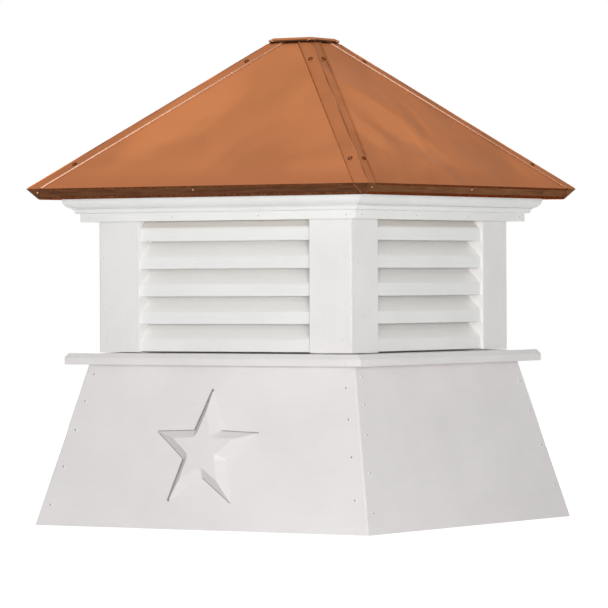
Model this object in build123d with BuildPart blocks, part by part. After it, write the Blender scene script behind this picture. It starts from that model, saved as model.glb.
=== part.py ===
from build123d import *
import math
import os

os.makedirs("parts", exist_ok=True)

# Barn cupola, millimetres. The origin is the centre of the base on the ground.
# The front, with the star, faces -Y. A "half" is measured from the centre line.

# Flared base
base_foot_half = 381.0
base_neck_half = 305.0
base_height = 311.0
base_board = 13.0
base_corner_ease = 2.5
cleat_leg = 38.0
cleat_lift = 15.0

# Raised star on the front of the base
star_tip_radius = 121.0
star_notch_radius = 50.0
star_thickness = 15.5
star_foot = 0.5
star_bevel = 16.5
star_notch_round = 1.0
star_centre_share = 0.475
star_off_centre = 5.0

# Sill between base and louvre section
sill_overhang = 34.0
sill_thickness = 22.0
sill_chamfer_in = 6.5
sill_chamfer_down = 9.0
sill_corner_ease = 1.5

# Louvre section
vent_set_in = 15.0
vent_height = 254.0
corner_board_width = 94.0
corner_board_thickness = 19.0
corner_board_ease = 3.5
shadow_gap = 1.5
jamb_thickness = 19.0
jamb_back_gap = 1.0
jamb_depth = corner_board_width - corner_board_thickness - jamb_thickness - jamb_back_gap
blade_count = 5
blade_thickness = 18.0
blade_slope = 45.0
blade_depth = 50.0
blade_ease = 1.5
blade_set_back = 6.0
blade_head_gap = 15.5
blade_foot_gap = 1.0
ledge_depth = 61.0

# Frieze and crown moulding
frieze_overhang = 25.5
frieze_height = 16.0
crown_height = 31.5
crown_seat = 15.5
crown_reach = 26.0
crown_toe = 4.0
crown_cove = 5.0
crown_bead = 4.5
crown_quirk = 1.5
crown_fillet = 5.0
crown_ovolo_radius = 18.0

# Copper roof
eave_overhang = 48.0
roof_pitch = 40.0
fascia_width = 24.5
fascia_drip = 2.0
copper = 0.8
copper_bend = 2.0
soffit_thickness = 12.0
soffit_lap = 10.0
deck_thickness = 12.0
hip_cap_leg = 25.0
hip_hem = 4.0
top_cap_half = 50.0
top_cap_lap = 6.0
top_cap_bevel = 6.5
top_cap_rise = 4.5
top_cap_lip = 3.2

# Fits
fit = 0.3
board_gap = 0.4

# Heights of the stages
sill_bottom = base_height
sill_top = sill_bottom + sill_thickness
vent_top = sill_top + vent_height
frieze_top = vent_top + frieze_height
crown_top = frieze_top + crown_height
soffit_top = crown_top + soffit_thickness

# Half widths of the stages
sill_half = base_neck_half + sill_overhang
vent_half = base_neck_half - vent_set_in
vent_inner_half = vent_half - corner_board_thickness
opening_half = vent_half - corner_board_width
ledge_inner_half = vent_half - ledge_depth
frieze_half = vent_half + frieze_overhang
crown_half = frieze_half + crown_reach
crown_back_half = frieze_half - crown_seat
soffit_inner_half = crown_back_half - soffit_lap
eave_half = crown_half + eave_overhang
roof_top_half = top_cap_half - top_cap_lap
run_reach = base_foot_half + eave_half

outward = {
    "front": Vector(0, -1, 0),
    "right": Vector(1, 0, 0),
    "back": Vector(0, 1, 0),
    "left": Vector(-1, 0, 0),
}
up = Vector(0, 0, 1)
sides = list(outward)


def section(side):
    """Upright plane through the centre line: x runs outward, y runs up."""
    out = outward[side]
    return Plane(origin=(0, 0, 0), x_dir=out, z_dir=out.cross(up))


def mitres(side, gap=0.0):
    """The two upright planes at 45 degrees that end a piece at its corners."""
    out = outward[side]
    along = out.cross(up)
    planes = []
    for normal in (out - along, out + along):
        normal = normal.normalized()
        planes.append(Plane(origin=normal * (gap / 2), z_dir=normal))
    return planes


def save(piece, name):
    piece.part.label = name
    export_step(piece.part, f"parts/{name}.step")


def corner_easings(side, half, lean, ease):
    """Planes that take the sharp edge off both ends of a leaning or upright face."""
    out = outward[side]
    along = out.cross(up)
    rise = math.atan(math.sqrt(2) * math.tan(lean))
    planes = []
    for hand in (-1, 1):
        diagonal = (out + along * hand).normalized()
        normal = diagonal * math.cos(rise) + up * math.sin(rise)
        corner = (out + along * hand) * half
        planes.append(Plane(origin=corner - diagonal * (ease / math.sqrt(2)), z_dir=normal))
    return planes


def mitred_run(side, outline, gap=0.0, easings=()):
    """A straight run along one side with this outline as its section."""
    with BuildPart() as run:
        with BuildSketch(section(side)):
            with BuildLine():
                Polyline(*outline, close=True)
            make_face()
        extrude(amount=run_reach, both=True)
        for plane in mitres(side, gap):
            split(bisect_by=plane, keep=Keep.TOP)
        for plane in easings:
            split(bisect_by=plane, keep=Keep.BOTTOM)
    return run


# Base: four leaning boards, mitred at the corners

base_lean = math.atan2(base_foot_half - base_neck_half, base_height)
base_wall = base_board / math.cos(base_lean)
base_outline = [
    (base_foot_half, 0),
    (base_neck_half, base_height),
    (base_neck_half - base_wall, base_height),
    (base_foot_half - base_wall, 0),
]
for side in outward:
    eased = corner_easings(side, base_foot_half, base_lean, base_corner_ease)
    save(mitred_run(side, base_outline, easings=eased), f"base_panel_{side}")


# Cleats: a three-sided stick in each inner corner, which takes the screws

def inner_half_at(height):
    share = height / base_height
    outer = base_foot_half + (base_neck_half - base_foot_half) * share
    return outer - base_wall


with BuildPart() as cleats:
    for turn in range(4):
        for height in (cleat_lift, base_height):
            reach = inner_half_at(height)
            plane = Plane(origin=(0, 0, height)).rotated((0, 0, 90 * turn))
            with BuildSketch(plane):
                with BuildLine():
                    Polyline(
                        (reach, -reach),
                        (reach, -reach + cleat_leg),
                        (reach - cleat_leg, -reach),
                        close=True,
                    )
                make_face()
        loft()
save(cleats, "base_corner_cleats")


# Star: a five-pointed star with bevelled edges, flat against the front board

star_rise = math.hypot(base_foot_half - base_neck_half, base_height) * star_centre_share
star_centre = Vector(
    -star_off_centre,
    -base_foot_half + star_rise * math.sin(base_lean),
    star_rise * math.cos(base_lean),
)
star_normal = Vector(0, -math.cos(base_lean), math.sin(base_lean))
star_plane = Plane(origin=star_centre, x_dir=(1, 0, 0), z_dir=star_normal)


def star_points(tip, notch):
    points = []
    for i in range(5):
        for radius, turn in ((tip, 90 + 72 * i), (notch, 126 + 72 * i)):
            angle = math.radians(turn)
            points.append((radius * math.cos(angle), radius * math.sin(angle)))
    return points


with BuildPart() as star:
    with BuildSketch(star_plane):
        with BuildLine():
            Polyline(*star_points(star_tip_radius, star_notch_radius), close=True)
        make_face()
    extrude(amount=star_thickness)
    star_axis = Axis(star_centre, star_normal)
    upright = star.edges().filter_by(star_axis)
    fillet(upright.sort_by_distance(star_centre)[:5], star_notch_round)
    star_top = star.faces().sort_by(star_axis)[-1]
    chamfer(star_top.edges(), star_bevel, star_thickness - star_foot, reference=star_top)
save(star, "base_star")


# Sill: four boards laid flat, with the top edge chamfered

sill_outline = [
    (ledge_inner_half, sill_bottom),
    (sill_half, sill_bottom),
    (sill_half, sill_top - sill_chamfer_down),
    (sill_half - sill_chamfer_in, sill_top),
    (ledge_inner_half, sill_top),
]
for side in outward:
    eased = corner_easings(side, sill_half, 0, sill_corner_ease)
    save(mitred_run(side, sill_outline, easings=eased), f"sill_{side}")


# Corner boards: the front and back ones lap the edges of the side ones

def corner_board(side, hand):
    laps = side in ("front", "back")
    outer = vent_half if laps else vent_inner_half
    with BuildPart() as board:
        with BuildSketch(section(side)):
            with BuildLine():
                Polyline(
                    (vent_inner_half, sill_top + shadow_gap),
                    (vent_half, sill_top + shadow_gap),
                    (vent_half, vent_top),
                    (vent_inner_half, vent_top),
                    close=True,
                )
            make_face()
        extrude(amount=hand * outer)
        keep_outside = Plane(
            origin=section(side).z_dir * (hand * opening_half),
            z_dir=section(side).z_dir * hand,
        )
        split(bisect_by=keep_outside, keep=Keep.TOP)
        if laps:
            corner = outward[side] * vent_half + section(side).z_dir * (hand * vent_half)
            edge = board.edges().filter_by(Axis.Z).sort_by_distance(corner)[0]
            fillet(edge, corner_board_ease)
    return board


for i, side in enumerate(sides):
    for hand in (1, -1):
        neighbour = sides[(i - hand) % 4]
        save(corner_board(side, hand), f"corner_board_{side}_{neighbour}")


# Jambs: upright boards behind the corner boards that hold the blades

with BuildPart() as jambs:
    for side in outward:
        frame = section(side)
        for hand in (-1, 1):
            start = hand * opening_half
            plane = Plane(origin=frame.z_dir * start, x_dir=frame.x_dir, z_dir=frame.z_dir * hand)
            with BuildSketch(plane):
                with BuildLine():
                    Polyline(
                        (vent_inner_half - jamb_depth, hand * sill_top),
                        (vent_inner_half, hand * sill_top),
                        (vent_inner_half, hand * vent_top),
                        (vent_inner_half - jamb_depth, hand * vent_top),
                        close=True,
                    )
                make_face()
            extrude(amount=jamb_thickness)
save(jambs, "louvre_jambs")


# Louvre blades: boards at 45 degrees with an upright nosing

blade_nosing = blade_thickness / math.cos(math.radians(blade_slope))
blade_rise = blade_depth * math.tan(math.radians(blade_slope))
nosing_half = vent_half - blade_set_back
blade_field = vent_height - blade_head_gap - blade_foot_gap - blade_nosing
blade_pitch = blade_field / (blade_count - 1)


def louvre_blades(side):
    with BuildPart() as blades:
        with BuildSketch(section(side)) as profile:
            for i in range(blade_count):
                top = vent_top - blade_head_gap - blade_pitch * i
                with BuildLine():
                    Polyline(
                        (nosing_half, top - blade_nosing),
                        (nosing_half, top),
                        (nosing_half - blade_depth, top + blade_rise),
                        (nosing_half - blade_depth, top + blade_rise - blade_nosing),
                        close=True,
                    )
                make_face()
            nosings = profile.vertices().filter_by_position(Axis.X, nosing_half - fit, nosing_half + fit)
            fillet(nosings, blade_ease)
        extrude(amount=opening_half - fit, both=True)
        split(bisect_by=Plane.XY.offset(vent_top - fit), keep=Keep.BOTTOM)
    return blades


for side in outward:
    save(louvre_blades(side), f"louvre_blades_{side}")


# Frieze: four flat boards that stand out past the corner boards

frieze_outline = [
    (ledge_inner_half, vent_top),
    (frieze_half, vent_top),
    (frieze_half, frieze_top),
    (ledge_inner_half, frieze_top),
]
for side in outward:
    save(mitred_run(side, frieze_outline), f"frieze_{side}")


# Crown moulding: cove, bead and ovolo under the eaves

def crown(side):
    foot = (frieze_half + crown_toe, frieze_top)
    cove = (foot[0] + crown_cove, foot[1] + crown_cove)
    bead = (cove[0] + crown_bead, cove[1] + crown_bead)
    quirk = (bead[0] - crown_quirk, bead[1] + crown_quirk)
    ovolo = (quirk[0] + 2 * crown_quirk, quirk[1])
    brow = (crown_half, crown_top - crown_fillet)
    with BuildPart() as moulding:
        with BuildSketch(section(side)):
            with BuildLine():
                Line((crown_back_half, frieze_top), foot)
                RadiusArc(foot, cove, -crown_cove)
                RadiusArc(cove, bead, crown_bead)
                Polyline(bead, quirk, ovolo)
                RadiusArc(ovolo, brow, -crown_ovolo_radius)
                Polyline(brow, (crown_half, crown_top), (crown_back_half, crown_top))
                Line((crown_back_half, crown_top), (crown_back_half, frieze_top))
            make_face()
        extrude(amount=run_reach, both=True)
        for plane in mitres(side):
            split(bisect_by=plane, keep=Keep.TOP)
    return moulding


for side in outward:
    save(crown(side), f"crown_{side}")


# Roof frame of reference: s runs up the slope from the eave edge, n points out

pitch = math.radians(roof_pitch)
eave_height = crown_top - fascia_drip + fascia_width * math.cos(pitch)


def slope_section(side):
    out = outward[side]
    eave = out * eave_half + up * eave_height
    uphill = (out * -math.cos(pitch) + up * math.sin(pitch)).normalized()
    return Plane(origin=eave, x_dir=uphill, z_dir=up.cross(out))


slope_length = (eave_half - roof_top_half) / math.cos(pitch)


def slope_run(side, outline, gap=0.0):
    with BuildPart() as run:
        with BuildSketch(slope_section(side)):
            with BuildLine():
                Polyline(*outline, close=True)
            make_face()
        extrude(amount=run_reach, both=True)
        for plane in mitres(side, gap):
            split(bisect_by=plane, keep=Keep.TOP)
    return run


# Soffit: four boards that close the eaves, bevelled to the fascia

def behind_fascia(height):
    drop = eave_height - height
    return eave_half - drop * math.tan(pitch) - (copper + fit) / math.cos(pitch)


soffit_outline = [
    (soffit_inner_half, crown_top),
    (behind_fascia(crown_top), crown_top),
    (behind_fascia(soffit_top), soffit_top),
    (soffit_inner_half, soffit_top),
]
with BuildPart() as soffit:
    for side in outward:
        add(mitred_run(side, soffit_outline, board_gap).part)
save(soffit, "soffit")


# Deck: four boards under the copper, cut level where they sit on the soffit

def roof_deck(side):
    foot = copper_bend + fit
    underside = -copper - deck_thickness
    outline = [
        (foot, -copper),
        (slope_length, -copper),
        (slope_length, underside),
        (foot, underside),
    ]
    with BuildPart() as deck:
        add(slope_run(side, outline).part)
        split(bisect_by=Plane.XY.offset(soffit_top), keep=Keep.TOP)
    return deck


for side in outward:
    save(roof_deck(side), f"roof_deck_{side}")


# Copper: four sheets, each folded down at a right angle to make the fascia

def roof_panel(side):
    with BuildPart() as panel:
        with BuildSketch(slope_section(side)) as profile:
            with BuildLine():
                Polyline(
                    (0, 0),
                    (slope_length, 0),
                    (slope_length, -copper),
                    (copper, -copper),
                    (copper, -fascia_width),
                    (0, -fascia_width),
                    close=True,
                )
            make_face()
            fillet(profile.vertices().sort_by_distance((copper, -copper))[0], copper_bend - copper)
            fillet(profile.vertices().sort_by_distance((0, 0))[0], copper_bend)
        extrude(amount=run_reach, both=True)
        for plane in mitres(side):
            split(bisect_by=plane, keep=Keep.TOP)
    return panel


for side in outward:
    save(roof_panel(side), f"roof_panel_{side}")


# Hip caps: strips folded over the hips, hemmed, with the foot folded over the fascia

hip_angle = math.atan2(1, math.cos(pitch))
hip_leg_along = hip_cap_leg / math.sin(hip_angle)
hip_hem_along = hip_hem / math.sin(hip_angle)


def hip_strip(near, far):
    """Outline in the slope's plane of a strip between two lines beside the hip."""
    foot = eave_half + copper * math.cos(pitch)
    return [
        (foot - near, -copper),
        (foot - far, -copper),
        (roof_top_half - far, slope_length),
        (roof_top_half - near, slope_length),
    ]


def hip_cap(side):
    frame = slope_section(side)
    slope_face = Plane(origin=frame.origin, x_dir=frame.z_dir, z_dir=frame.y_dir)
    fascia_face = Plane(origin=frame.origin, x_dir=frame.z_dir, z_dir=-frame.x_dir)
    diagonal = mitres(side)[1]
    fascia_foot_half = eave_half - fascia_width * math.sin(pitch)
    beak = [
        (eave_half - hip_leg_along, 0),
        (eave_half + hip_leg_along, 0),
        (fascia_foot_half + hip_leg_along, -fascia_width),
        (fascia_foot_half, -fascia_width),
    ]
    layers = [
        (slope_face, hip_strip(hip_leg_along, -hip_leg_along), copper),
        (slope_face, hip_strip(hip_leg_along, hip_leg_along - hip_hem_along), 2 * copper),
        (fascia_face, beak, copper),
    ]
    with BuildPart() as cap:
        for plane, outline, thickness in layers:
            with BuildSketch(plane):
                with BuildLine():
                    Polyline(*outline, close=True)
                make_face()
            extrude(amount=thickness)
        split(bisect_by=diagonal, keep=Keep.TOP)
        mirror(about=diagonal)
    return cap


for i, side in enumerate(sides):
    save(hip_cap(side), f"hip_cap_{side}_{sides[(i + 1) % 4]}")


# Top cap: a shallow copper pan over the cut-off peak

lip_inner_half = top_cap_half - copper
roof_under_lip = eave_height + (eave_half - lip_inner_half) * math.tan(pitch)
cap_lip_bottom = roof_under_lip + 2 * copper / math.cos(pitch) + fit
cap_shoulder = cap_lip_bottom + top_cap_lip
with BuildPart() as top_cap:
    with BuildSketch(Plane.XY.offset(cap_lip_bottom)):
        Rectangle(2 * top_cap_half, 2 * top_cap_half)
    extrude(amount=top_cap_lip)
    with BuildSketch(Plane.XY.offset(cap_shoulder)):
        Rectangle(2 * top_cap_half, 2 * top_cap_half)
    with BuildSketch(Plane.XY.offset(cap_shoulder + top_cap_rise)):
        flat_side = 2 * (top_cap_half - top_cap_bevel)
        Rectangle(flat_side, flat_side)
    loft()
    offset(amount=-copper, openings=top_cap.faces().sort_by(Axis.Z)[0])
save(top_cap, "top_cap")
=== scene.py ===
import math
import bmesh
import bpy
from mathutils import Matrix, Vector


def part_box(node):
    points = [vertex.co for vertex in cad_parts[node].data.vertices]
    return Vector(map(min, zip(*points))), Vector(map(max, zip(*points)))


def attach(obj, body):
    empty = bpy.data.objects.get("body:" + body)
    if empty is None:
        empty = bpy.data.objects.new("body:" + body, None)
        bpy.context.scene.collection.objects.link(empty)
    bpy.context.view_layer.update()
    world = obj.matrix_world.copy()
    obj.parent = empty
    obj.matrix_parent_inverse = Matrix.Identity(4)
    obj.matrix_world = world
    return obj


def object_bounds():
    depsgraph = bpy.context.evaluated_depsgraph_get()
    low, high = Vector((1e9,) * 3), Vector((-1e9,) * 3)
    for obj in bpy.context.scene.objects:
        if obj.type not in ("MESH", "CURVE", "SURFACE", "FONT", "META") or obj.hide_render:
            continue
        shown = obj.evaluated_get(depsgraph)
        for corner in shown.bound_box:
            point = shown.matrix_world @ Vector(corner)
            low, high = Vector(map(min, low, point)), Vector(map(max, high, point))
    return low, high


# Barn cupola: white cellular PVC trim under a folded copper roof
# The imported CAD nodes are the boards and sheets, this script gives them their finish
# and adds the fasteners, hems and folds. Metres, front face towards -Y.

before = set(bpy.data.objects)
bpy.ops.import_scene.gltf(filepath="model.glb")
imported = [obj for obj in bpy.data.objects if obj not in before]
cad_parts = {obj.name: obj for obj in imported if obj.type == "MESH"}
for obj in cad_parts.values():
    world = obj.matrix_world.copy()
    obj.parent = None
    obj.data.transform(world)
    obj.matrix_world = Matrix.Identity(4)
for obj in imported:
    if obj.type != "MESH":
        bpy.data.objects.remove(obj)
cadLow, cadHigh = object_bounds()
print("loaded", len(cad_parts), "nodes")

mm = 0.001
up = Vector((0, 0, 1))
sides = {
    "front": Vector((0, -1, 0)),
    "right": Vector((1, 0, 0)),
    "back": Vector((0, 1, 0)),
    "left": Vector((-1, 0, 0)),
}
sideNames = list(sides)
bevelSamples = 6


# Helpers

def srgb(hexColour, alpha=1.0):
    channels = [int(hexColour[i:i + 2], 16) / 255 for i in (0, 2, 4)]
    linear = [c / 12.92 if c <= 0.04045 else ((c + 0.055) / 1.055) ** 2.4 for c in channels]
    return (*linear, alpha)


def addNode(tree, kind, settings=None, links=None):
    node = tree.nodes.new(kind)
    for key, value in (settings or {}).items():
        if isinstance(key, int) or key in node.inputs:
            node.inputs[key].default_value = value
        else:
            setattr(node, key, value)
    for key, source in (links or {}).items():
        tree.links.new(source, node.inputs[key])
    return node


def newMaterial(name):
    material = bpy.data.materials.new(name)
    material.use_nodes = True
    tree = material.node_tree
    tree.nodes.clear()
    output = addNode(tree, "ShaderNodeOutputMaterial")
    return material, tree, output


def ramp(tree, source, stops):
    node = addNode(tree, "ShaderNodeValToRGB", links={"Fac": source})
    band = node.color_ramp
    while len(band.elements) < len(stops):
        band.elements.new(0.5)
    for element, (position, colour) in zip(band.elements, stops):
        element.position = position
        element.color = colour
    return node


def nodePoints(name):
    return [v.co.copy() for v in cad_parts[name].data.vertices]


def roughnessRange(tree, look, source):
    plain = look["roughness"]
    smoother, rougher = look["roughnessSpread"]
    return addNode(
        tree, "ShaderNodeMapRange", {"To Min": plain + smoother, "To Max": plain + rougher},
        {"Value": source},
    )


def plainFinish(material, tree, output, look, pattern, tones):
    # two tones and a slight relief, both from one pattern
    stops = [(at, srgb(tone)) for at, tone in zip(look["stops"], tones)]
    colour = ramp(tree, pattern, stops)
    bump = addNode(
        tree, "ShaderNodeBump", {"Strength": look["bumpStrength"], "Distance": look["bumpHeight"]},
        {"Height": pattern},
    )
    shader = addNode(
        tree, "ShaderNodeBsdfPrincipled", {"Roughness": look["roughness"], "IOR": look["ior"]},
        {"Base Color": colour.outputs["Color"], "Normal": bump.outputs["Normal"]},
    )
    tree.links.new(shader.outputs["BSDF"], output.inputs["Surface"])
    return material


def placed(origin, normal, upHint):
    # turns a shape made on the XY plane so that its Z is the surface's normal
    z = normal.normalized()
    x = upHint.cross(z).normalized()
    y = z.cross(x)
    matrix = Matrix((x, y, z)).transposed().to_4x4()
    matrix.translation = origin
    return matrix


def finishPiece(name, bm, materials, smoothAngle=40):
    bmesh.ops.recalc_face_normals(bm, faces=bm.faces)
    mesh = bpy.data.meshes.new(name)
    bm.to_mesh(mesh)
    bm.free()
    piece = bpy.data.objects.new(name, mesh)
    bpy.context.collection.objects.link(piece)
    for material in materials:
        mesh.materials.append(material)
    mesh.shade_smooth()
    mesh.set_sharp_from_angle(angle=math.radians(smoothAngle))
    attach(piece, "root")
    return piece


def ringStack(bm, matrix, rings, segments, squareFrom=None):
    # closed shape from rings of (radius, height), rings past squareFrom are a square
    # recess, whose faces take the second material
    loops = []
    for index, (radius, height) in enumerate(rings):
        loop = []
        for i in range(segments):
            angle = 2 * math.pi * (i + 0.5) / segments
            c, s = math.cos(angle), math.sin(angle)
            reach = radius
            if squareFrom is not None and index >= squareFrom:
                reach = radius / max(abs(c), abs(s))
            loop.append(bm.verts.new(matrix @ Vector((reach * c, reach * s, height))))
        loops.append(loop)
    for index, (lower, upper) in enumerate(zip(loops, loops[1:])):
        for i in range(segments):
            j = (i + 1) % segments
            face = bm.faces.new((lower[i], lower[j], upper[j], upper[i]))
            face.material_index = 1 if squareFrom is not None and index >= squareFrom else 0
    bottom = bm.faces.new(loops[-1])
    bottom.material_index = 1 if squareFrom is not None else 0
    bm.faces.new(list(reversed(loops[0])))


def foldedStrip(
    bm, start, end, across, normal, section, litEdges=(), taper=2.0 * mm, endShare=0.35,
):
    # bar with this section in mm, squeezed to endShare of its height at both ends,
    # the section's edges in litEdges take the second material
    axis = (end - start).normalized()
    length = (end - start).length
    stations = ((0, endShare), (taper, 1.0), (length - taper, 1.0), (length, endShare))
    loops = []
    for at, share in stations:
        centre = start + axis * at
        loops.append([
            bm.verts.new(centre + across * (x * mm) + normal * (y * share * mm))
            for x, y in section
        ])
    count = len(section)
    for lower, upper in zip(loops, loops[1:]):
        for i in range(count):
            j = (i + 1) % count
            face = bm.faces.new((lower[i], lower[j], upper[j], upper[i]))
            face.material_index = 1 if i in litEdges else 0
    bm.faces.new(loops[-1])
    bm.faces.new(list(reversed(loops[0])))


# Cellular PVC: foamed board, extruded and cut on a router table
# Reads as clean satin white with very faint die lines along each board, a slow drift of tone
# from handling and slightly rounded edges; eased corners and the star's bevels get painted shade,
# up-facing slopes painted light.

pvcLook = {
    # white and shade of each kind of board, set by comparing with the photo; the differences
    # between the kinds are painted light and shade: the trim under the eaves is painted whiter,
    # and the base and posts greyer, than the lamps alone would make them
    "base": ("eeeaea", "e8e4e4"),
    "post": ("f1efee", "ebe9e8"),
    "trim": ("f4f4f3", "eeeeed"),
    "blade": ("f3f3f2", "ededec"),
    "toneStops": (0.42, 0.78),
    "dieLineShare": 0.25,
    "slopeLight": "fffdfa",                     # painted light on slopes that face up
    "friezeShade": "dfdbd4",                # painted shade on the same slopes close under the frieze
    "slopeLightFacing": (0.3, 0.7),             # upward part of the normal, where the painted light begins and is full
    "friezeShadeRise": (1 * mm, 4 * mm),    # above the nosing of the highest blade, where the painted shade begins and is full
    "cornerShade": "d9d7d6",                  # painted shade on eased corners and the star's bevels
    "cornerShadeFacing": (0.1, 0.4),          # how far a face turns between two sides
    "dieLine": 3.0 * mm,      # real die lines are under 1 mm, drawn coarser so that they show
    "drift": 140 * mm,
    "grit": 2.0 * mm,         # real orange peel is about 0.5 mm, drawn coarser
    "edgeRadius": 1.0 * mm,
    "roughness": 0.42,
    "roughnessSpread": (-0.06, 0.08),
    "gritBump": 0.12,
    "dieBump": 0.15,
    "bumpHeight": 0.2 * mm,
    "ior": 1.53,
    "nosingDepth": 2 * mm,    # points this close to the blades' front edge lie on a nosing
}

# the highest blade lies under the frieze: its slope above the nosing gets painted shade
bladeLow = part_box("louvre_blades_front")[0]
topBladeNosing = max(
    p.z for p in nodePoints("louvre_blades_front")
    if p.dot(sides["front"]) > -bladeLow.y - pvcLook["nosingDepth"]
)


def cellularPvc(name, dieLineScale, whites, slopeLightShare=0.0, cornerShade=1.0):
    look = pvcLook
    material, tree, output = newMaterial(name)
    place = addNode(tree, "ShaderNodeTexCoord").outputs["Object"]
    drift = addNode(
        tree, "ShaderNodeTexNoise", {"Scale": 1 / look["drift"], "Detail": 3.0}, {"Vector": place},
    )
    stretched = addNode(tree, "ShaderNodeMapping", {"Scale": dieLineScale}, {"Vector": place})
    lines = addNode(
        tree, "ShaderNodeTexNoise",
        {"Scale": 1 / look["dieLine"], "Detail": 2.0, "Roughness": 0.4},
        {"Vector": stretched.outputs["Vector"]},
    )
    grit = addNode(
        tree, "ShaderNodeTexNoise", {"Scale": 1 / look["grit"], "Detail": 2.0}, {"Vector": place},
    )
    blend = addNode(
        tree, "ShaderNodeMath", {"operation": "MULTIPLY_ADD", 1: look["dieLineShare"]},
        {0: lines.outputs["Fac"], 2: drift.outputs["Fac"]},
    )
    white, shade = whites
    shadeStop, whiteStop = look["toneStops"]
    flat = ramp(tree, blend.outputs[0], [(shadeStop, srgb(shade)), (whiteStop, srgb(white))])
    normal = addNode(tree, "ShaderNodeNewGeometry").outputs["True Normal"]
    facing = addNode(tree, "ShaderNodeSeparateXYZ", links={"Vector": normal})
    # painted shade: eased corners, which face between two sides, are painted a little greyer
    product = addNode(
        tree, "ShaderNodeMath", {"operation": "MULTIPLY"},
        {0: facing.outputs["X"], 1: facing.outputs["Y"]},
    )
    between = addNode(tree, "ShaderNodeMath", {"operation": "ABSOLUTE"}, {0: product.outputs[0]})
    cornerShadeFrom, cornerShadeFull = look["cornerShadeFacing"]
    corner = addNode(
        tree, "ShaderNodeMapRange",
        {"From Min": cornerShadeFrom, "From Max": cornerShadeFull, "To Max": cornerShade},
        {"Value": between.outputs[0]},
    )
    cornerShaded = addNode(
        tree, "ShaderNodeMix", {"data_type": "RGBA", 7: srgb(look["cornerShade"])},
        {"Factor": corner.outputs["Result"], 6: flat.outputs["Color"]},
    )
    # painted light on slopes that face up, turning to painted shade close under the frieze
    slopeLightFrom, slopeLightFull = look["slopeLightFacing"]
    slopeLit = addNode(
        tree, "ShaderNodeMapRange", {"From Min": slopeLightFrom, "From Max": slopeLightFull, "To Max": slopeLightShare},
        {"Value": facing.outputs["Z"]},
    )
    height = addNode(tree, "ShaderNodeSeparateXYZ", links={"Vector": place})
    friezeShadeFrom, friezeShadeFull = look["friezeShadeRise"]
    friezeShade = addNode(
        tree, "ShaderNodeMapRange",
        {"From Min": topBladeNosing + friezeShadeFrom, "From Max": topBladeNosing + friezeShadeFull},
        {"Value": height.outputs["Z"]},
    )
    slopeLight = addNode(
        tree, "ShaderNodeMix",
        {"data_type": "RGBA", 6: srgb(look["slopeLight"]), 7: srgb(look["friezeShade"])},
        {"Factor": friezeShade.outputs["Result"]},
    )
    colour = addNode(
        tree, "ShaderNodeMix", {"data_type": "RGBA"},
        {"Factor": slopeLit.outputs["Result"], 6: cornerShaded.outputs[2], 7: slopeLight.outputs[2]},
    )
    rough = roughnessRange(tree, look, drift.outputs["Fac"])
    edge = addNode(
        tree, "ShaderNodeBevel", {"samples": bevelSamples, "Radius": look["edgeRadius"]},
    )
    fine = addNode(
        tree, "ShaderNodeBump", {"Strength": look["gritBump"], "Distance": look["bumpHeight"]},
        {"Height": grit.outputs["Fac"], "Normal": edge.outputs["Normal"]},
    )
    dieBump = addNode(
        tree, "ShaderNodeBump", {"Strength": look["dieBump"], "Distance": look["bumpHeight"]},
        {"Height": lines.outputs["Fac"], "Normal": fine.outputs["Normal"]},
    )
    shader = addNode(
        tree, "ShaderNodeBsdfPrincipled", {"IOR": look["ior"], "Metallic": 0.0},
        {
            "Base Color": colour.outputs[2],
            "Roughness": rough.outputs["Result"],
            "Normal": dieBump.outputs["Normal"],
        },
    )
    tree.links.new(shader.outputs["BSDF"], output.inputs["Surface"])
    return material


lyingBoard = (0.03, 0.03, 1.0)     # die lines run level round the cupola
standingBoard = (1.0, 1.0, 0.02)   # die lines run up the board
pvcBase = cellularPvc("extruded cellular PVC, base", lyingBoard, pvcLook["base"], cornerShade=0.3)
# the star's bevels get more of the painted corner shade than the mitred base does
pvcStar = cellularPvc("extruded cellular PVC, star", lyingBoard, pvcLook["base"], cornerShade=0.7)
pvcTrim = cellularPvc("extruded cellular PVC, trim", lyingBoard, pvcLook["trim"])
pvcStanding = cellularPvc("extruded cellular PVC, standing", standingBoard, pvcLook["post"])
pvcLouvre = cellularPvc("extruded louvre PVC", lyingBoard, pvcLook["blade"], slopeLightShare=1.0)


# Copper: cold rolled sheet, folded on a brake and left bare
# Gives a warm orange metal with soft buckles between the folds, a fine rolling grain,
# patches of painted highlight, and painted dark reflection where the sheet stands upright or faces
# down.

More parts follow.
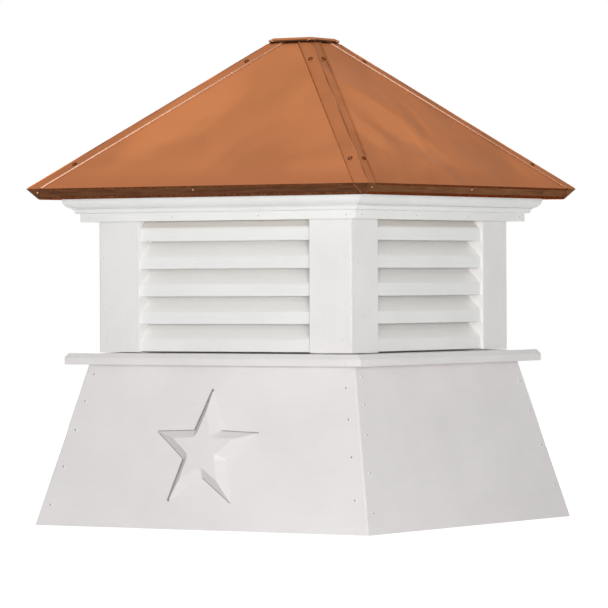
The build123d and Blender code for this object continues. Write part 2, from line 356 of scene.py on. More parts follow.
copperLook = {
    # browned, plain and bright tone of the sheet; the hip caps come from a browner sheet
    "panel": ("b8764f", "c27c52", "c88055"),
    "cap": ("ad6e4a", "b6744d", "bc7850"),
    "toneStops": (0.42, 0.60, 0.82),
    "grainShare": 0.22,
    "eaveBrown": "b8744e",
    "eaveHeights": (0.655, 0.695),    # fully brown at the first, not at all from the second up
    # painted highlight where the buckled sheet catches the light, placed as in the photo:
    # middle, turn in degrees, reach and strength
    "rubAndHighlight": "da8d5c",
    "patchEdge": 0.6,
    "patchWarp": 0.11,
    "patchWarpSize": 85 * mm,
    "highlightPatches": (
        ((0.25, -0.075, 0.771), (-42.8, 0, 0), (0.40, 0.125, 0.068), 0.85),
        ((0.30, -0.188, 0.762), (0, 0, 0), (0.16, 0.060, 0.075), 0.8),
        ((-0.137, -0.223, 0.781), (0, -37.1, 0), (0.160, 0.30, 0.072), 0.55),
    ),
    "glancing": "eed4c3",      # tint of the sheet seen at a low angle
    "darkReflection": "66432e",
    "darkReflectionDeep": "4e3020",
    "darkReflectionStops": (0.35, 0.65),
    "darkReflectionFacing": (0.5, 0.2),     # upward part of the normal, where the painted dark reflection begins and is full
    "buckle": 150 * mm,
    "buckleHeight": 12 * mm,
    "rollingGrain": 2.5 * mm,     # real grain is under 0.3 mm, drawn coarser so that it shows
    "grainStretch": (0.05, 0.05, 1.0),
    "grainBump": 0.15,
    "grainHeight": 0.15 * mm,
    "edgeRadius": 0.8 * mm,
    "roughness": 0.30,
    "roughnessSpread": (-0.05, 0.12),
    # the hems' lit faces are painted highlight in these tones, paler than the sheet
    "hemRoughness": 0.62,
    "hemMetal": 0.35,
    "hemBright": "dfbea6",
    "hemPlain": "d6a78c",
    "hemUnlit": "b07a58",
    # share of the painted highlight, from the left end of the eaves (0) to the right end (1)
    "hemHighlightAlong": (
        (0.0, 1.0), (0.28, 1.0), (0.44, 0.35), (0.5, 0.5),
        (0.56, 1.0), (0.74, 1.0), (0.86, 0.3), (1.0, 0.15),
    ),
}


def rolledCopper(name, tones):
    look = copperLook
    material, tree, output = newMaterial(name)
    place = addNode(tree, "ShaderNodeTexCoord").outputs["Object"]
    normal = addNode(tree, "ShaderNodeNewGeometry").outputs["True Normal"]
    facing = addNode(tree, "ShaderNodeSeparateXYZ", links={"Vector": normal})
    buckle = addNode(
        tree, "ShaderNodeTexNoise",
        {"Scale": 1 / look["buckle"], "Detail": 1.5, "Roughness": 0.35, "Distortion": 0.6},
        {"Vector": place},
    )
    stretched = addNode(
        tree, "ShaderNodeMapping", {"Scale": look["grainStretch"]}, {"Vector": place},
    )
    grainNoise = addNode(
        tree, "ShaderNodeTexNoise", {"Scale": 1 / look["rollingGrain"], "Detail": 3.0},
        {"Vector": stretched.outputs["Vector"]},
    )
    tone = addNode(
        tree, "ShaderNodeMath", {"operation": "MULTIPLY_ADD", 1: look["grainShare"]},
        {0: grainNoise.outputs["Fac"], 2: buckle.outputs["Fac"]},
    )
    stops = [(at, srgb(shade)) for at, shade in zip(look["toneStops"], tones)]
    sheetColour = ramp(tree, tone.outputs[0], stops).outputs["Color"]
    warp = addNode(
        tree, "ShaderNodeTexNoise",
        {"Scale": 1 / look["patchWarpSize"], "Detail": 2.0}, {"Vector": place},
    )
    centred = addNode(
        tree, "ShaderNodeVectorMath", {"operation": "SUBTRACT", 1: (0.5, 0.5, 0.5)},
        {0: warp.outputs["Color"]},
    )
    wandering = addNode(
        tree, "ShaderNodeVectorMath", {"operation": "MULTIPLY_ADD", 1: (look["patchWarp"],) * 3},
        {0: centred.outputs["Vector"], 2: place},
    )
    # patches of painted highlight where the buckles catch the light
    for middle, turn, reach, strength in look["highlightPatches"]:
        local = addNode(
            tree, "ShaderNodeMapping",
            {"vector_type": "TEXTURE", "Location": middle, "Scale": reach,
             "Rotation": tuple(math.radians(angle) for angle in turn)},
            {"Vector": wandering.outputs["Vector"]},
        )
        patch = addNode(
            tree, "ShaderNodeTexGradient", {"gradient_type": "SPHERICAL"},
            {"Vector": local.outputs["Vector"]},
        )
        share = addNode(
            tree, "ShaderNodeMapRange",
            {
                "interpolation_type": "SMOOTHSTEP",
                "From Max": look["patchEdge"], "To Max": strength,
            },
            {"Value": patch.outputs["Fac"]},
        )
        sheetColour = addNode(
            tree, "ShaderNodeMix", {"data_type": "RGBA", 7: srgb(look["rubAndHighlight"])},
            {"Factor": share.outputs["Result"], 6: sheetColour},
        ).outputs[2]
    height = addNode(tree, "ShaderNodeSeparateXYZ", links={"Vector": place})
    eaveLow, eaveHigh = look["eaveHeights"]
    nearEave = addNode(
        tree, "ShaderNodeMapRange",
        {"interpolation_type": "SMOOTHSTEP", "From Min": eaveHigh, "From Max": eaveLow},
        {"Value": height.outputs["Z"]},
    )
    eaved = addNode(
        tree, "ShaderNodeMix", {"data_type": "RGBA", 7: srgb(look["eaveBrown"])},
        {"Factor": nearEave.outputs["Result"], 6: sheetColour},
    )
    # painted dark reflection on sheet that stands upright or faces down, such as the fascia
    darkStop, plainStop = look["darkReflectionStops"]
    darkReflection = ramp(
        tree, grainNoise.outputs["Fac"],
        [(darkStop, srgb(look["darkReflectionDeep"])), (plainStop, srgb(look["darkReflection"]))],
    )
    darkReflectionFrom, darkReflectionFull = look["darkReflectionFacing"]
    down = addNode(
        tree, "ShaderNodeMapRange", {"From Min": darkReflectionFrom, "From Max": darkReflectionFull},
        {"Value": facing.outputs["Z"]},
    )
    colour = addNode(
        tree, "ShaderNodeMix", {"data_type": "RGBA"},
        {"Factor": down.outputs["Result"], 6: eaved.outputs[2], 7: darkReflection.outputs["Color"]},
    )
    rough = roughnessRange(tree, look, grainNoise.outputs["Fac"])
    edge = addNode(
        tree, "ShaderNodeBevel", {"samples": bevelSamples, "Radius": look["edgeRadius"]},
    )
    wave = addNode(
        tree, "ShaderNodeBump", {"Strength": 1.0, "Distance": look["buckleHeight"]},
        {"Height": buckle.outputs["Fac"], "Normal": edge.outputs["Normal"]},
    )
    fine = addNode(
        tree, "ShaderNodeBump", {"Strength": look["grainBump"], "Distance": look["grainHeight"]},
        {"Height": grainNoise.outputs["Fac"], "Normal": wave.outputs["Normal"]},
    )
    shader = addNode(
        tree, "ShaderNodeBsdfPrincipled",
        {"Metallic": 1.0, "Specular Tint": srgb(look["glancing"])},
        {
            "Base Color": colour.outputs[2],
            "Roughness": rough.outputs["Result"],
            "Normal": fine.outputs["Normal"],
        },
    )
    tree.links.new(shader.outputs["BSDF"], output.inputs["Surface"])
    return material


# what the small metal parts share, each finish below adds its tones and its roughness
metalLook = {
    "stops": (0.35, 0.65),
    "rubLength": 6 * mm,
    "roughnessSpread": (-0.04, 0.06),
    "bumpStrength": 0.1,
    "bumpHeight": 0.1 * mm,
    "metallic": 1.0,
    "highlightAlong": (),
}


def burnishedMetal(name, finish):
    look = {**metalLook, **finish}
    material, tree, output = newMaterial(name)
    place = addNode(tree, "ShaderNodeTexCoord").outputs["Object"]
    rub = addNode(
        tree, "ShaderNodeTexNoise", {"Scale": 1 / look["rubLength"], "Detail": 2.0},
        {"Vector": place},
    )
    plainStop, brightStop = look["stops"]
    rubAndHighlight = ramp(
        tree, rub.outputs["Fac"],
        [(plainStop, srgb(look["plain"])), (brightStop, srgb(look["bright"]))],
    )
    colour = rubAndHighlight.outputs["Color"]
    if look["highlightAlong"]:
        split = addNode(tree, "ShaderNodeSeparateXYZ", links={"Vector": place})
        along = addNode(
            tree, "ShaderNodeMapRange", {"From Min": -cadHigh.x, "From Max": cadHigh.x},
            {"Value": split.outputs["X"]},
        )
        wearStops = [(at, (share, share, share, 1)) for at, share in look["highlightAlong"]]
        litShare = ramp(tree, along.outputs["Result"], wearStops)
        colour = addNode(
            tree, "ShaderNodeMix", {"data_type": "RGBA", 6: srgb(look["unlit"])},
            {"Factor": litShare.outputs["Color"], 7: rubAndHighlight.outputs["Color"]},
        ).outputs[2]
    rough = roughnessRange(tree, look, rub.outputs["Fac"])
    bump = addNode(
        tree, "ShaderNodeBump", {"Strength": look["bumpStrength"], "Distance": look["bumpHeight"]},
        {"Height": rub.outputs["Fac"]},
    )
    shader = addNode(
        tree, "ShaderNodeBsdfPrincipled",
        {"Metallic": look["metallic"], "Specular Tint": srgb(look["glancing"])},
        {
            "Base Color": colour,
            "Roughness": rough.outputs["Result"],
            "Normal": bump.outputs["Normal"],
        },
    )
    tree.links.new(shader.outputs["BSDF"], output.inputs["Surface"])
    return material


copperSheet = rolledCopper("rolled copper sheet", copperLook["panel"])
copperCap = rolledCopper("rolled copper sheet, hip caps", copperLook["cap"])

# Lit faces of the hems: painted highlight, paler than the sheet
copperHem = burnishedMetal("copper hem, painted highlight", {
    "plain": copperLook["hemPlain"],
    "bright": copperLook["hemBright"],
    "glancing": copperLook["hemBright"],
    "roughness": copperLook["hemRoughness"],
    "metallic": copperLook["hemMetal"],
    "highlightAlong": copperLook["hemHighlightAlong"],
    "unlit": copperLook["hemUnlit"],
})
# Back of a fold, washers and drives: painted shade, a thin dark brown line
foldShadow = burnishedMetal("copper fold, painted shade", {
    "plain": "54311f", "bright": "7a4a30", "glancing": "b98a66", "roughness": 0.45,
})
# Back of a hip cap's hem: painted shade, only a little browner than the sheet
hemBack = burnishedMetal("copper hem back", {
    "plain": "9c6040", "bright": "b57650", "glancing": "d8b08c", "roughness": 0.45,
})
# Ridge of a hip cap: folded sharp by hand, with painted highlight in places and painted shade
# between
ridgeFold = burnishedMetal("copper ridge fold", {
    "plain": "dba67f", "bright": "5f3824", "glancing": "e8bc98", "roughness": 0.4,
    "rubLength": 110 * mm,
})
# Screws: copper plated steel gone brown, darker than the sheet round them
brownScrew = burnishedMetal("browned copper plated screw", {
    "plain": "5e3824", "bright": "8a5434", "glancing": "b98a66", "roughness": 0.3,
})
# Rivets: pulled solid copper, still bright on the dark fascia; the same copper is the painted
# highlight on the lit edges of the top cap's crimps and the fascia's drip
rivetCopperAndHighlight = burnishedMetal("pulled copper rivet and painted highlight", {
    "plain": "c98560", "bright": "e3a988", "glancing": "e8bc98", "roughness": 0.3,
})


# Plywood: rotary peeled softwood veneers, bare inside the roof
# Gives a dull warm board with long wandering grain and small knots.

plywoodLook = {
    "tones": ("9c7448", "c9a679"),    # late and early wood
    "stops": (0.35, 0.6),
    "grainWidth": 9 * mm,
    "grainStretch": (0.15, 0.15, 1.0),
    "bumpStrength": 0.4,
    "bumpHeight": 0.4 * mm,
    "roughness": 0.75,
    "ior": 1.5,
}


def peeledPlywood():
    look = plywoodLook
    material, tree, output = newMaterial("peeled softwood plywood")
    place = addNode(tree, "ShaderNodeTexCoord").outputs["Object"]
    stretched = addNode(
        tree, "ShaderNodeMapping", {"Scale": look["grainStretch"]}, {"Vector": place},
    )
    grain = addNode(
        tree, "ShaderNodeTexNoise",
        {"Scale": 1 / look["grainWidth"], "Detail": 5.0, "Distortion": 1.2},
        {"Vector": stretched.outputs["Vector"]},
    )
    return plainFinish(material, tree, output, look, grain.outputs["Fac"], look["tones"])


plywood = peeledPlywood()


# Screw enamel: white baked enamel on steel heads
# Slightly glossier and cleaner than the boards, so that each head catches a small light.

enamelLook = {
    "tones": ("e6e5e2", "f2f1ef"),
    "stops": (0.3, 0.7),
    "flow": 1.5 * mm,
    "bumpStrength": 0.2,
    "bumpHeight": 0.1 * mm,
    "roughness": 0.25,
    "ior": 1.5,
}


def bakedEnamel():
    look = enamelLook
    material, tree, output = newMaterial("baked white enamel")
    place = addNode(tree, "ShaderNodeTexCoord").outputs["Object"]
    flow = addNode(
        tree, "ShaderNodeTexNoise", {"Scale": 1 / look["flow"], "Detail": 1.0}, {"Vector": place},
    )
    return plainFinish(material, tree, output, look, flow.outputs["Fac"], look["tones"])


enamel = bakedEnamel()


# Painted shadow and shade: a matt warm grey, for the shadow line round the star and the dark dot
# in each screw's drive

paintedShadeLook = {
    "seam": ("8d8580", "b5afa9"),
    "drive": ("6f6a66", "918b86"),
    "stops": (0.3, 0.7),
    "speck": 4 * mm,
    "bumpStrength": 0.3,
    "bumpHeight": 0.2 * mm,
    "roughness": 0.85,
    "ior": 1.45,
}


def paintedShadeMatt(name, tones):
    look = paintedShadeLook
    material, tree, output = newMaterial(name)
    place = addNode(tree, "ShaderNodeTexCoord").outputs["Object"]
    specks = addNode(
        tree, "ShaderNodeTexNoise", {"Scale": 1 / look["speck"], "Detail": 3.0}, {"Vector": place},
    )
    return plainFinish(material, tree, output, look, specks.outputs["Fac"], tones)


seamShadow = paintedShadeMatt("painted shadow line, matt grey", paintedShadeLook["seam"])
# Painted shade in the drives of the screws, which leaves a dark dot in each head
driveShade = paintedShadeMatt("painted shade in a screw's drive", paintedShadeLook["drive"])

# the first prefix that fits counts
nodeFinishes = {
    "base_star": pvcStar,
    "base_": pvcBase,
    "sill_": pvcBase,
    "frieze_": pvcTrim,
    "crown_": pvcTrim,
    "soffit": pvcTrim,
    "corner_board_": pvcStanding,
    "louvre_jambs": pvcStanding,
    "louvre_blades_": pvcLouvre,
    "roof_deck_": plywood,
    "roof_panel_": copperSheet,
    "hip_cap_": copperCap,
    "top_cap": copperSheet,
}
for name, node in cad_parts.items():
    finish = next(m for prefix, m in nodeFinishes.items() if name.startswith(prefix))
    node.data.materials.clear()
    node.data.materials.append(finish)
    for slot in node.material_slots:
        slot.link = "OBJECT"
        slot.material = finish
print("finishes set")


# Base screws: enamelled pan heads with a square drive, up both edges of each panel

baseScrew = {
    "radius": 3.1 * mm,
    "height": 1.3 * mm,
    "drive": 1.5 * mm,
    "driveDepth": 1.1 * mm,
    "segments": 24,
    "edge": 22 * mm,
    "leftHeights": (40.7, 116.2, 189.0, 246.1, 299.6),    # in mm, up the slope from the foot
    "rightHeights": (65.4, 146.7, 217.6, 277.6),
}


# pan head from its rim to its top, in shares of radius and height, and the drive's taper
headProfile = ((1.0, -0.2), (1.0, 0.15), (0.93, 0.45), (0.75, 0.78), (0.52, 0.96))
driveTaper = 0.92


def screwHead(bm, matrix, screw):
    radius, height, drive = screw["radius"], screw["height"], screw["drive"]
    rings = [(across * radius, rise * height) for across, rise in headProfile]
    rings += [(drive, height), (driveTaper * drive, height - screw["driveDepth"])]
    ringStack(bm, matrix, rings, screw["segments"], squareFrom=len(headProfile))


def outerHalf(name, out, height, within=1 * mm):
    level = [p for p in nodePoints(name) if abs(p.z - height) < within]
    return max(p.dot(out) for p in level)


baseLow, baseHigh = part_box("base_panel_front")
baseHeight = baseHigh.z - baseLow.z
footHalf = outerHalf("base_panel_front", sides["front"], baseLow.z)
neckHalf = outerHalf("base_panel_front", sides["front"], baseHigh.z)
slantLength = math.hypot(baseHeight, footHalf - neckHalf)

for side, out in sides.items():
    right = up.cross(out)
    uphill = (up * baseHeight - out * (footHalf - neckHalf)).normalized()
    normal = right.cross(uphill)
    bm = bmesh.new()
    for hand, heights in ((-1, baseScrew["leftHeights"]), (1, baseScrew["rightHeights"])):
        for slantInMm in heights:
            slant = slantInMm * mm
            half = footHalf - (footHalf - neckHalf) * slant / slantLength
            spot = out * footHalf + uphill * slant + right * (hand * (half - baseScrew["edge"]))
            screwHead(bm, placed(spot, normal, uphill), baseScrew)
    finishPiece(f"base_screws_{side}", bm, [enamel, driveShade])
print("base screws")


# Star shadow bead: a thin matt grey bead round the star's upper and left edges, painted shadow
# standing in for the shadow the raised star casts there

starShadowBead = {
    # in mm
    "width": 1.5,
    "height": 0.9,
    "fullWidth": 3.6,           # where the painted shadow is widest
    "fullHeight": 2.4,
    "crest": (0.3, 0.8),        # top of the bead, in shares of its width and height
    "flatWithin": 0.1 * mm,     # corners of the outline lie this close to the board
    "shortestEdge": 10 * mm,    # shorter ones are facets of the rounded notches
    # an edge that faces further right or down than this has no bead, further left a full one
    "noneRight": 0.3,
    "noneDown": 0.85,
    "fullLeft": 0.9,
}
front = sides["front"]
frontUphill = (up * baseHeight - front * (footHalf - neckHalf)).normalized()
frontNormal = up.cross(front).cross(frontUphill)
starPoints = [p - front * footHalf for p in nodePoints("base_star")]
outline = {}
for p in starPoints:
    if abs(p.dot(frontNormal)) < starShadowBead["flatWithin"]:
        outline[(round(p.x, 4), round(p.dot(frontUphill), 4))] = True
starMiddle = Vector((
    (max(x for x, y in outline) + min(x for x, y in outline)) / 2,
    sum(y for x, y in outline) / len(outline),
))
corners = sorted(
    (Vector(c) for c in outline), key=lambda c: math.atan2(c.y - starMiddle.y, c.x - starMiddle.x),
)
bm = bmesh.new()
for a, b in zip(corners, corners[1:] + corners[:1]):
    edge = b - a
    if edge.length < starShadowBead["shortestEdge"]:
        continue
    away = Vector((edge.y, -edge.x)).normalized()
    if away.x > starShadowBead["noneRight"] or away.y < -starShadowBead["noneDown"]:
        continue
    start, end = (
        front * footHalf + Vector((c.x, 0, 0)) + frontUphill * c.y for c in (a, b)
    )
    across = Vector((away.x, 0, 0)) + frontUphill * away.y
    full = away.x < -starShadowBead["fullLeft"]
    width = starShadowBead["fullWidth"] if full else starShadowBead["width"]
    rise = starShadowBead["fullHeight"] if full else starShadowBead["height"]
    crestAcross, crestUp = starShadowBead["crest"]
    bead = ((-rise, 0.0), (-rise, rise), (crestAcross * width, crestUp * rise), (width, 0.0))
    foldedStrip(bm, start, end, across, frontNormal, bead)
finishPiece("star_shadow_bead", bm, [seamShadow])
print("star shadow bead", len(corners), "corners")


# Trim nails: small enamelled heads set in the corner boards, frieze and sill

trimNail = {
    "radius": 1.9 * mm,
    "height": 0.7 * mm,
    "drive": 0.6 * mm,
    "driveDepth": 0.5 * mm,
    "segments": 16,
    # in mm, from the board's outer edge and up from the sill
    "lappingBoard": ((12, 184), (12, 94), (19, 26)),
    "leftBoard": ((21, 174), (39, 71), (66, 69)),
    "rightBoard": ((16, 172), (16, 67), (52, 66), (66, 65)),
    "friezeEdge": 20 * mm,
    "friezeNails": 4,
    "sillEdge": 33 * mm,
    "sillRise": 5 * mm,
}
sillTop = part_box("sill_front")[1].z
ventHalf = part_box("corner_board_right_front")[1].x
friezeLow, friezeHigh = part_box("frieze_front")
friezeHalf = friezeHigh.x
sillLow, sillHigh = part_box("sill_right")
sillHalf = sillHigh.x

for side, out in sides.items():
    right = up.cross(out)
    bm = bmesh.new()
    laps = side in ("front", "back")
    for hand in (-1, 1):
        pattern = "lappingBoard" if laps else ("leftBoard" if hand < 0 else "rightBoard")
        for inset, rise in trimNail[pattern]:
            across = right * (hand * (ventHalf - inset * mm))
            spot = out * ventHalf + across + up * (sillTop + rise * mm)
            screwHead(bm, placed(spot, out, up), trimNail)
        sillAcross = right * (hand * (sillHalf - trimNail["sillEdge"]))
        sillSpot = out * sillHalf + sillAcross + up * (sillLow.z + trimNail["sillRise"])
        screwHead(bm, placed(sillSpot, out, up), trimNail)
    reach = friezeHalf - trimNail["friezeEdge"]
    for i in range(trimNail["friezeNails"]):
        across = right * (-reach + 2 * reach * i / (trimNail["friezeNails"] - 1))
        spot = out * friezeHalf + across + up * (friezeLow.z + friezeHigh.z) / 2
        screwHead(bm, placed(spot, out, up), trimNail)
    finishPiece(f"trim_nails_{side}", bm, [enamel, driveShade])
print("trim nails")


# Copper work: hems, screws and rivets on the roof

roofWork = {
    # as in the CAD
    "pitch": 40,
    "sheet": 0.8 * mm,
    "capLeg": 25 * mm,
    # hems and ridges start this far up from the eave and end this far short of the slope's top
    "stripStart": 1.0 * mm,
    "stripEnd": 9 * mm,
    # sections in mm: out from the edge of the cap, and up from the slope
    "hemSection": (
        (1.5, 0.1), (1.0, 1.0), (0.2, 1.8), (-0.6, 2.2), (-1.3, 1.9), (-1.7, 1.4), (-1.7, 0.9),
    ),
    "hemLit": (0, 1, 2, 3),
    # out from the ridge to one side, and up from the slope of that side
    "ridgeSection": ((0.0, 0.5), (0.9, 0.7), (0.8, 1.3), (0.0, 1.6)),
    # out from the fascia, and down from its lower edge
    "dripSection": (
        (0.0, -4.0), (0.7, -3.6), (0.9, -1.0), (0.8, 1.4), (0.2, 2.2),
        (-0.6, 2.0), (-1.2, 1.0), (-1.2, -1.0), (-0.9, -3.0),
    ),
    "dripLit": (4, 5),
    # edge of a hip cap's tab on the fascia
    "tabDown": 2.5 * mm,
    "tabFromCorner": 9.0 * mm,
    "tabSection": ((-0.7, 0.2), (-0.3, 1.3), (0.3, 1.3), (0.7, 0.2)),
    "browDown": 3.2 * mm,
    "browSection": (
        (0.0, -1.9), (0.5, -1.4), (0.6, 0.7), (0.0, 1.2), (-0.5, 0.8), (-0.5, -1.4),
    ),
    # crimped corner of the top cap: up along the lip to the corner
    "crimpReach": 11 * mm,
    "crimpLow": 0.8 * mm,
    "crimpHigh": 0.4 * mm,
    "crimpSection": ((-0.9, 0.1), (-0.5, 1.0), (0.3, 1.2), (1.0, 0.7), (1.2, 0.1)),
    "crimpLit": (1, 2, 3),
    "screwFromHip": 18 * mm,
    "screwSlopes": (73 * mm, 388 * mm),    # up the slope from the eave
    "rivetDown": 9.0 * mm,
    "rivetPlaces": (-0.945, -0.012),       # share of the half side, left end and middle
    "tabWithin": 0.9,                      # a rivet past this share sits on a cap's tab
    "foldInset": 0.5 * mm,                 # the fascia's folds stop this short of its corners
}
roofScrew = {
    "radius": 3.1 * mm, "height": 3.0 * mm, "drive": 1.2 * mm, "driveDepth": 1.1 * mm,
    "segments": 20,
}
roofWasher = {
    "radius": 5.0 * mm, "height": 1.5 * mm, "drive": 2.8 * mm, "driveDepth": 0.3 * mm,
    "segments": 24,
}
rivet = {
    "radius": 2.1 * mm, "height": 1.2 * mm, "drive": 0.5 * mm, "driveDepth": 0.3 * mm,
    "segments": 16,
}

pitch = math.radians(roofWork["pitch"])
panelPoints = nodePoints("roof_panel_front")
topPoint = max(panelPoints, key=lambda p: (round(p.z, 5), p.dot(front)))
footPoint = min(panelPoints, key=lambda p: (round(p.z, 5), -p.dot(front)))
downhill = front * math.cos(pitch) - up * math.sin(pitch)
slopeLength = (footPoint - topPoint).dot(downhill)
eaveHalf = topPoint.dot(front) + slopeLength * math.cos(pitch)
eaveHeight = topPoint.z - slopeLength * math.sin(pitch)
fasciaDrop = (eaveHeight - footPoint.z) / math.cos(pitch)
capLegAlong = roofWork["capLeg"] / math.sin(math.atan2(1, math.cos(pitch)))


def slopeFrame(side):
    out = sides[side]
    right = up.cross(out)
    uphill = up * math.sin(pitch) - out * math.cos(pitch)
    normal = out * math.sin(pitch) + up * math.cos(pitch)
    eave = out * eaveHalf + up * eaveHeight
    return eave, right, uphill, normal


def onSlope(side, hand, fromHip, slope, lift=0.0):
    eave, right, uphill, normal = slopeFrame(side)
    half = eaveHalf - slope * math.cos(pitch)
    return eave + right * (hand * (half - fromHip)) + uphill * slope + normal * lift


def onFascia(side, across, down, lift=0.0):
    eave, right, uphill, normal = slopeFrame(side)
    return eave + right * across - normal * down - uphill * lift


lipWithin = 0.1 * mm
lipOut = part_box("top_cap")[1].x
lipPoints = [p for p in nodePoints("top_cap") if p.dot(front) > lipOut - lipWithin]
lipHalf = max(p.dot(front) for p in lipPoints)
lipBottom, lipTop = min(p.z for p in lipPoints), max(p.z for p in lipPoints)
# hems that face the front and the right, towards the key light, get the painted highlight, the
# others are the browner back colour throughout
litSide = sides["front"] + sides["right"]
sheetThickness = roofWork["sheet"]
stripFoot, stripHead = roofWork["stripStart"], slopeLength - roofWork["stripEnd"]

for index, side in enumerate(sideNames):
    nextSide = sideNames[(index + 1) % len(sideNames)]
    hip = f"{side}_{nextSide}"
    screws, washers, hems, ridges, crimps = (bmesh.new() for _ in range(5))
    for face, hand in ((side, 1), (nextSide, -1)):
        right, uphill, normal = slopeFrame(face)[1:]
        inward = right * -hand
        for slope in roofWork["screwSlopes"]:
            spot = onSlope(face, hand, roofWork["screwFromHip"], slope, sheetThickness)
            screwHead(screws, placed(spot, normal, uphill), roofScrew)
            screwHead(washers, placed(spot, normal, uphill), roofWasher)

        hemFoot = onSlope(face, hand, capLegAlong, stripFoot)
        hemHead = onSlope(face, hand, capLegAlong, stripHead)
        rubAndHighlight = roofWork["hemLit"] if inward.dot(litSide) > 0 else ()
        foldedStrip(hems, hemFoot, hemHead, inward, normal, roofWork["hemSection"], rubAndHighlight)
        if face == side:
            # the cap's tab on this fascia leans in towards the corner
            down = fasciaDrop - roofWork["tabDown"]
            footAcross = eaveHalf - down * math.sin(pitch) - roofWork["tabFromCorner"]
            tabTop = onFascia(face, hand * (eaveHalf - capLegAlong), roofWork["tabDown"])
            tabFoot = onFascia(face, hand * footAcross, down)
            foldedStrip(hems, tabTop, tabFoot, inward, -uphill, roofWork["tabSection"])
        ridgeFoot = onSlope(face, hand, 0.0, stripFoot)
        ridgeHead = onSlope(face, hand, 0.0, stripHead)
        foldedStrip(ridges, ridgeFoot, ridgeHead, inward, normal, roofWork["ridgeSection"])

        out = sides[face]
        corner = out * lipHalf + right * (hand * lipHalf)
        along = right * (hand * roofWork["crimpReach"])
        crimpFoot = corner - along + up * (lipBottom + roofWork["crimpLow"])
        crimpHead = corner + up * (lipTop + roofWork["crimpHigh"])
        sideways = out.cross((crimpHead - crimpFoot).normalized())
        crimpAcross = sideways if sideways.z > 0 else -sideways
        # the crimp's upper edges take painted highlight, its back painted shade
        foldedStrip(
            crimps, crimpFoot, crimpHead, crimpAcross, out,
            roofWork["crimpSection"], roofWork["crimpLit"],
        )
    finishPiece(f"hip_cap_screws_{hip}", screws, [brownScrew, foldShadow])
    # the washers are painted shade round each screw
    finishPiece(f"hip_cap_washers_{hip}", washers, [foldShadow, foldShadow])
    finishPiece(f"hip_cap_hems_{hip}", hems, [hemBack, copperHem])
    finishPiece(f"hip_cap_ridges_{hip}", ridges, [ridgeFold])
    finishPiece(f"top_cap_crimps_{hip}", crimps, [foldShadow, rivetCopperAndHighlight])

for side in sideNames:
    eave, right, uphill, normal = slopeFrame(side)
    rivets = bmesh.new()
    for share in roofWork["rivetPlaces"]:
        lift = sheetThickness if abs(share) > roofWork["tabWithin"] else 0.0
        spot = onFascia(side, share * eaveHalf, roofWork["rivetDown"], lift)
        screwHead(rivets, placed(spot, -uphill, normal), rivet)
    finishPiece(f"fascia_rivets_{side}", rivets, [rivetCopperAndHighlight, foldShadow])

    folds = bmesh.new()
    # the drip's lit edges take painted highlight, the rest of both folds is painted shade
    for down, section, lit in (
        (fasciaDrop, roofWork["dripSection"], roofWork["dripLit"]),
        (roofWork["browDown"], roofWork["browSection"], ()),
    ):
        reach = eaveHalf - down * math.sin(pitch) - roofWork["foldInset"]
        foldedStrip(
            folds, onFascia(side, -reach, down), onFascia(side, reach, down),
            -uphill, -normal, section, lit,
        )
    finishPiece(f"fascia_folds_{side}", folds, [foldShadow, rivetCopperAndHighlight])
print("copper work")


# Floor, light and camera

studio = {
    "floorRadius": 16,
    "floorSegments": 64,
    "floorWhite": "f2f2f1",
    "floorLift": 0.72,
    "worldLevel": 0.34,
    # the backdrop that reflections show is darker behind the cupola
    "backReflection": 0.62,
    "backReflectionEdge": (0.68, 0.98),
    # azimuth and elevation in degrees, distance, width, height and power
    "key": (37, 1, 5.5, 2.4, 1.0, 163),
    "fill": (40, 24, 5.5, 1.8, 1.8, 16),
    "back": (217, 18, 5.5, 2.4, 2.4, 75),
}


def seenOrReflected(tree):
    path = addNode(tree, "ShaderNodeLightPath")
    seen = addNode(
        tree, "ShaderNodeMath", {"operation": "MAXIMUM"},
        {0: path.outputs["Is Camera Ray"], 1: path.outputs["Is Glossy Ray"]},
    )
    return addNode(
        tree, "ShaderNodeMath", {"operation": "MAXIMUM"},
        {0: seen.outputs[0], 1: path.outputs["Is Transmission Ray"]},
    ).outputs[0]


bm = bmesh.new()
bmesh.ops.create_circle(
    bm, cap_ends=True, segments=studio["floorSegments"], radius=studio["floorRadius"],
)
floorMesh = bpy.data.meshes.new("studio_floor")
bm.to_mesh(floorMesh)
bm.free()
floor = bpy.data.objects.new("studio_floor", floorMesh)
bpy.context.collection.objects.link(floor)
floorMaterial, tree, output = newMaterial("studio floor paint")
diffuse = addNode(tree, "ShaderNodeBsdfDiffuse", {"Color": srgb(studio["floorWhite"])})
liftLevel = addNode(
    tree, "ShaderNodeMath", {"operation": "MULTIPLY", 1: studio["floorLift"]},
    {0: seenOrReflected(tree)},
)
glow = addNode(tree, "ShaderNodeEmission", links={"Strength": liftLevel.outputs[0]})
both = addNode(tree, "ShaderNodeAddShader", links={0: diffuse.outputs[0], 1: glow.outputs[0]})
tree.links.new(both.outputs[0], output.inputs["Surface"])
floorMesh.materials.append(floorMaterial)

world = bpy.data.worlds.new("studio")
bpy.context.scene.world = world
world.use_nodes = True
worldTree = world.node_tree
worldTree.nodes.clear()
worldOutput = addNode(worldTree, "ShaderNodeOutputWorld")
direction = addNode(worldTree, "ShaderNodeTexCoord").outputs["Generated"]
aim = addNode(worldTree, "ShaderNodeSeparateXYZ", links={"Vector": direction})
edgeStart, edgeEnd = studio["backReflectionEdge"]
backdropLevel = addNode(
    worldTree, "ShaderNodeMapRange",
    {
        "interpolation_type": "SMOOTHSTEP", "From Min": edgeStart, "From Max": edgeEnd,
        "To Min": 1.0, "To Max": studio["backReflection"],
    },
    {"Value": aim.outputs["Y"]},
)
rays = addNode(worldTree, "ShaderNodeLightPath")
mirrored = addNode(
    worldTree, "ShaderNodeMath", {"operation": "MAXIMUM"},
    {0: rays.outputs["Is Glossy Ray"], 1: rays.outputs["Is Transmission Ray"]},
)
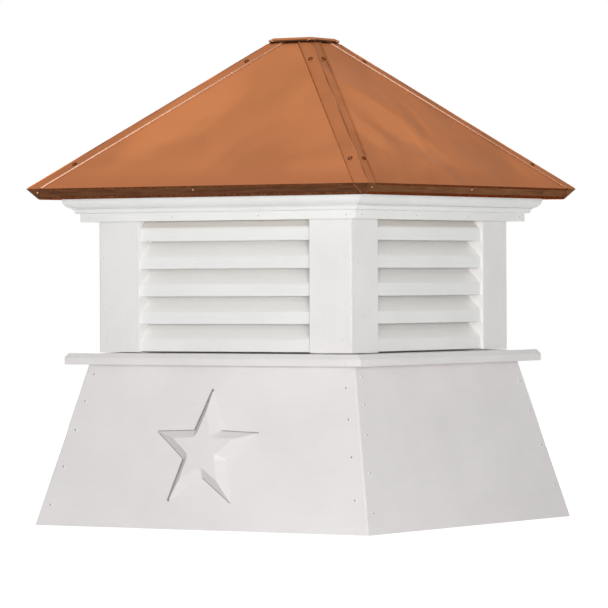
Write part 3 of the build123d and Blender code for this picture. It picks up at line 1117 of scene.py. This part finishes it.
plainLevel = addNode(
    worldTree, "ShaderNodeMix", {"data_type": "FLOAT", 2: studio["worldLevel"]},
    {"Factor": mirrored.outputs[0], 3: backdropLevel.outputs["Result"]},
)
worldStrength = addNode(
    worldTree, "ShaderNodeMix", {"data_type": "FLOAT", 3: 1.0},
    {"Factor": rays.outputs["Is Camera Ray"], 2: plainLevel.outputs[0]},
)
background = addNode(
    worldTree, "ShaderNodeBackground", {"Color": (1, 1, 1, 1)},
    {"Strength": worldStrength.outputs[0]},
)
worldTree.links.new(background.outputs[0], worldOutput.inputs["Surface"])

middle = (cadLow + cadHigh) / 2


def softbox(name, azimuthDegrees, elevationDegrees, distance, width, height, power):
    azimuth, elevation = math.radians(azimuthDegrees), math.radians(elevationDegrees)
    towards = Vector((
        math.sin(azimuth) * math.cos(elevation),
        -math.cos(azimuth) * math.cos(elevation),
        math.sin(elevation),
    ))
    light = bpy.data.lights.new(name, "AREA")
    light.shape = "RECTANGLE"
    light.size = width
    light.size_y = height
    light.energy = power
    lamp = bpy.data.objects.new(name, light)
    bpy.context.collection.objects.link(lamp)
    lamp.location = middle + towards * distance
    lamp.rotation_mode = "QUATERNION"
    lamp.rotation_quaternion = (-towards).to_track_quat("-Z", "Y")
    lamp.visible_camera = False


softbox("key_softbox", *studio["key"])
softbox("fill_softbox", *studio["fill"])
# lights the two sides turned away from the camera, which other views show
softbox("back_softbox", *studio["back"])

# Camera: a long lens a little above the sill, level but for a slight dip
shot = {
    "location": (4.6140, -7.1663, 0.4726),
    "azimuth": 32.793,
    "dip": -0.3166,
    "roll": -0.2695,
    "lens": 256.8,
    "sensor": 36.0,
}
yaw, dip, roll = (math.radians(shot[key]) for key in ("azimuth", "dip", "roll"))
forward = Vector((-math.sin(yaw) * math.cos(dip), math.cos(yaw) * math.cos(dip), math.sin(dip)))
level = Vector((math.cos(yaw), math.sin(yaw), 0))
upright = level.cross(forward)
cameraRight = level * math.cos(roll) + upright * math.sin(roll)
cameraUp = upright * math.cos(roll) - level * math.sin(roll)
cameraData = bpy.data.cameras.new("camera")
cameraData.lens = shot["lens"]
cameraData.sensor_width = shot["sensor"]
camera = bpy.data.objects.new("camera", cameraData)
bpy.context.collection.objects.link(camera)
turn = Matrix((cameraRight, cameraUp, -forward)).transposed().to_4x4()
turn.translation = Vector(shot["location"])
camera.matrix_world = turn
bpy.context.scene.camera = camera
bpy.context.scene.view_settings.view_transform = "Standard"
print("studio set")
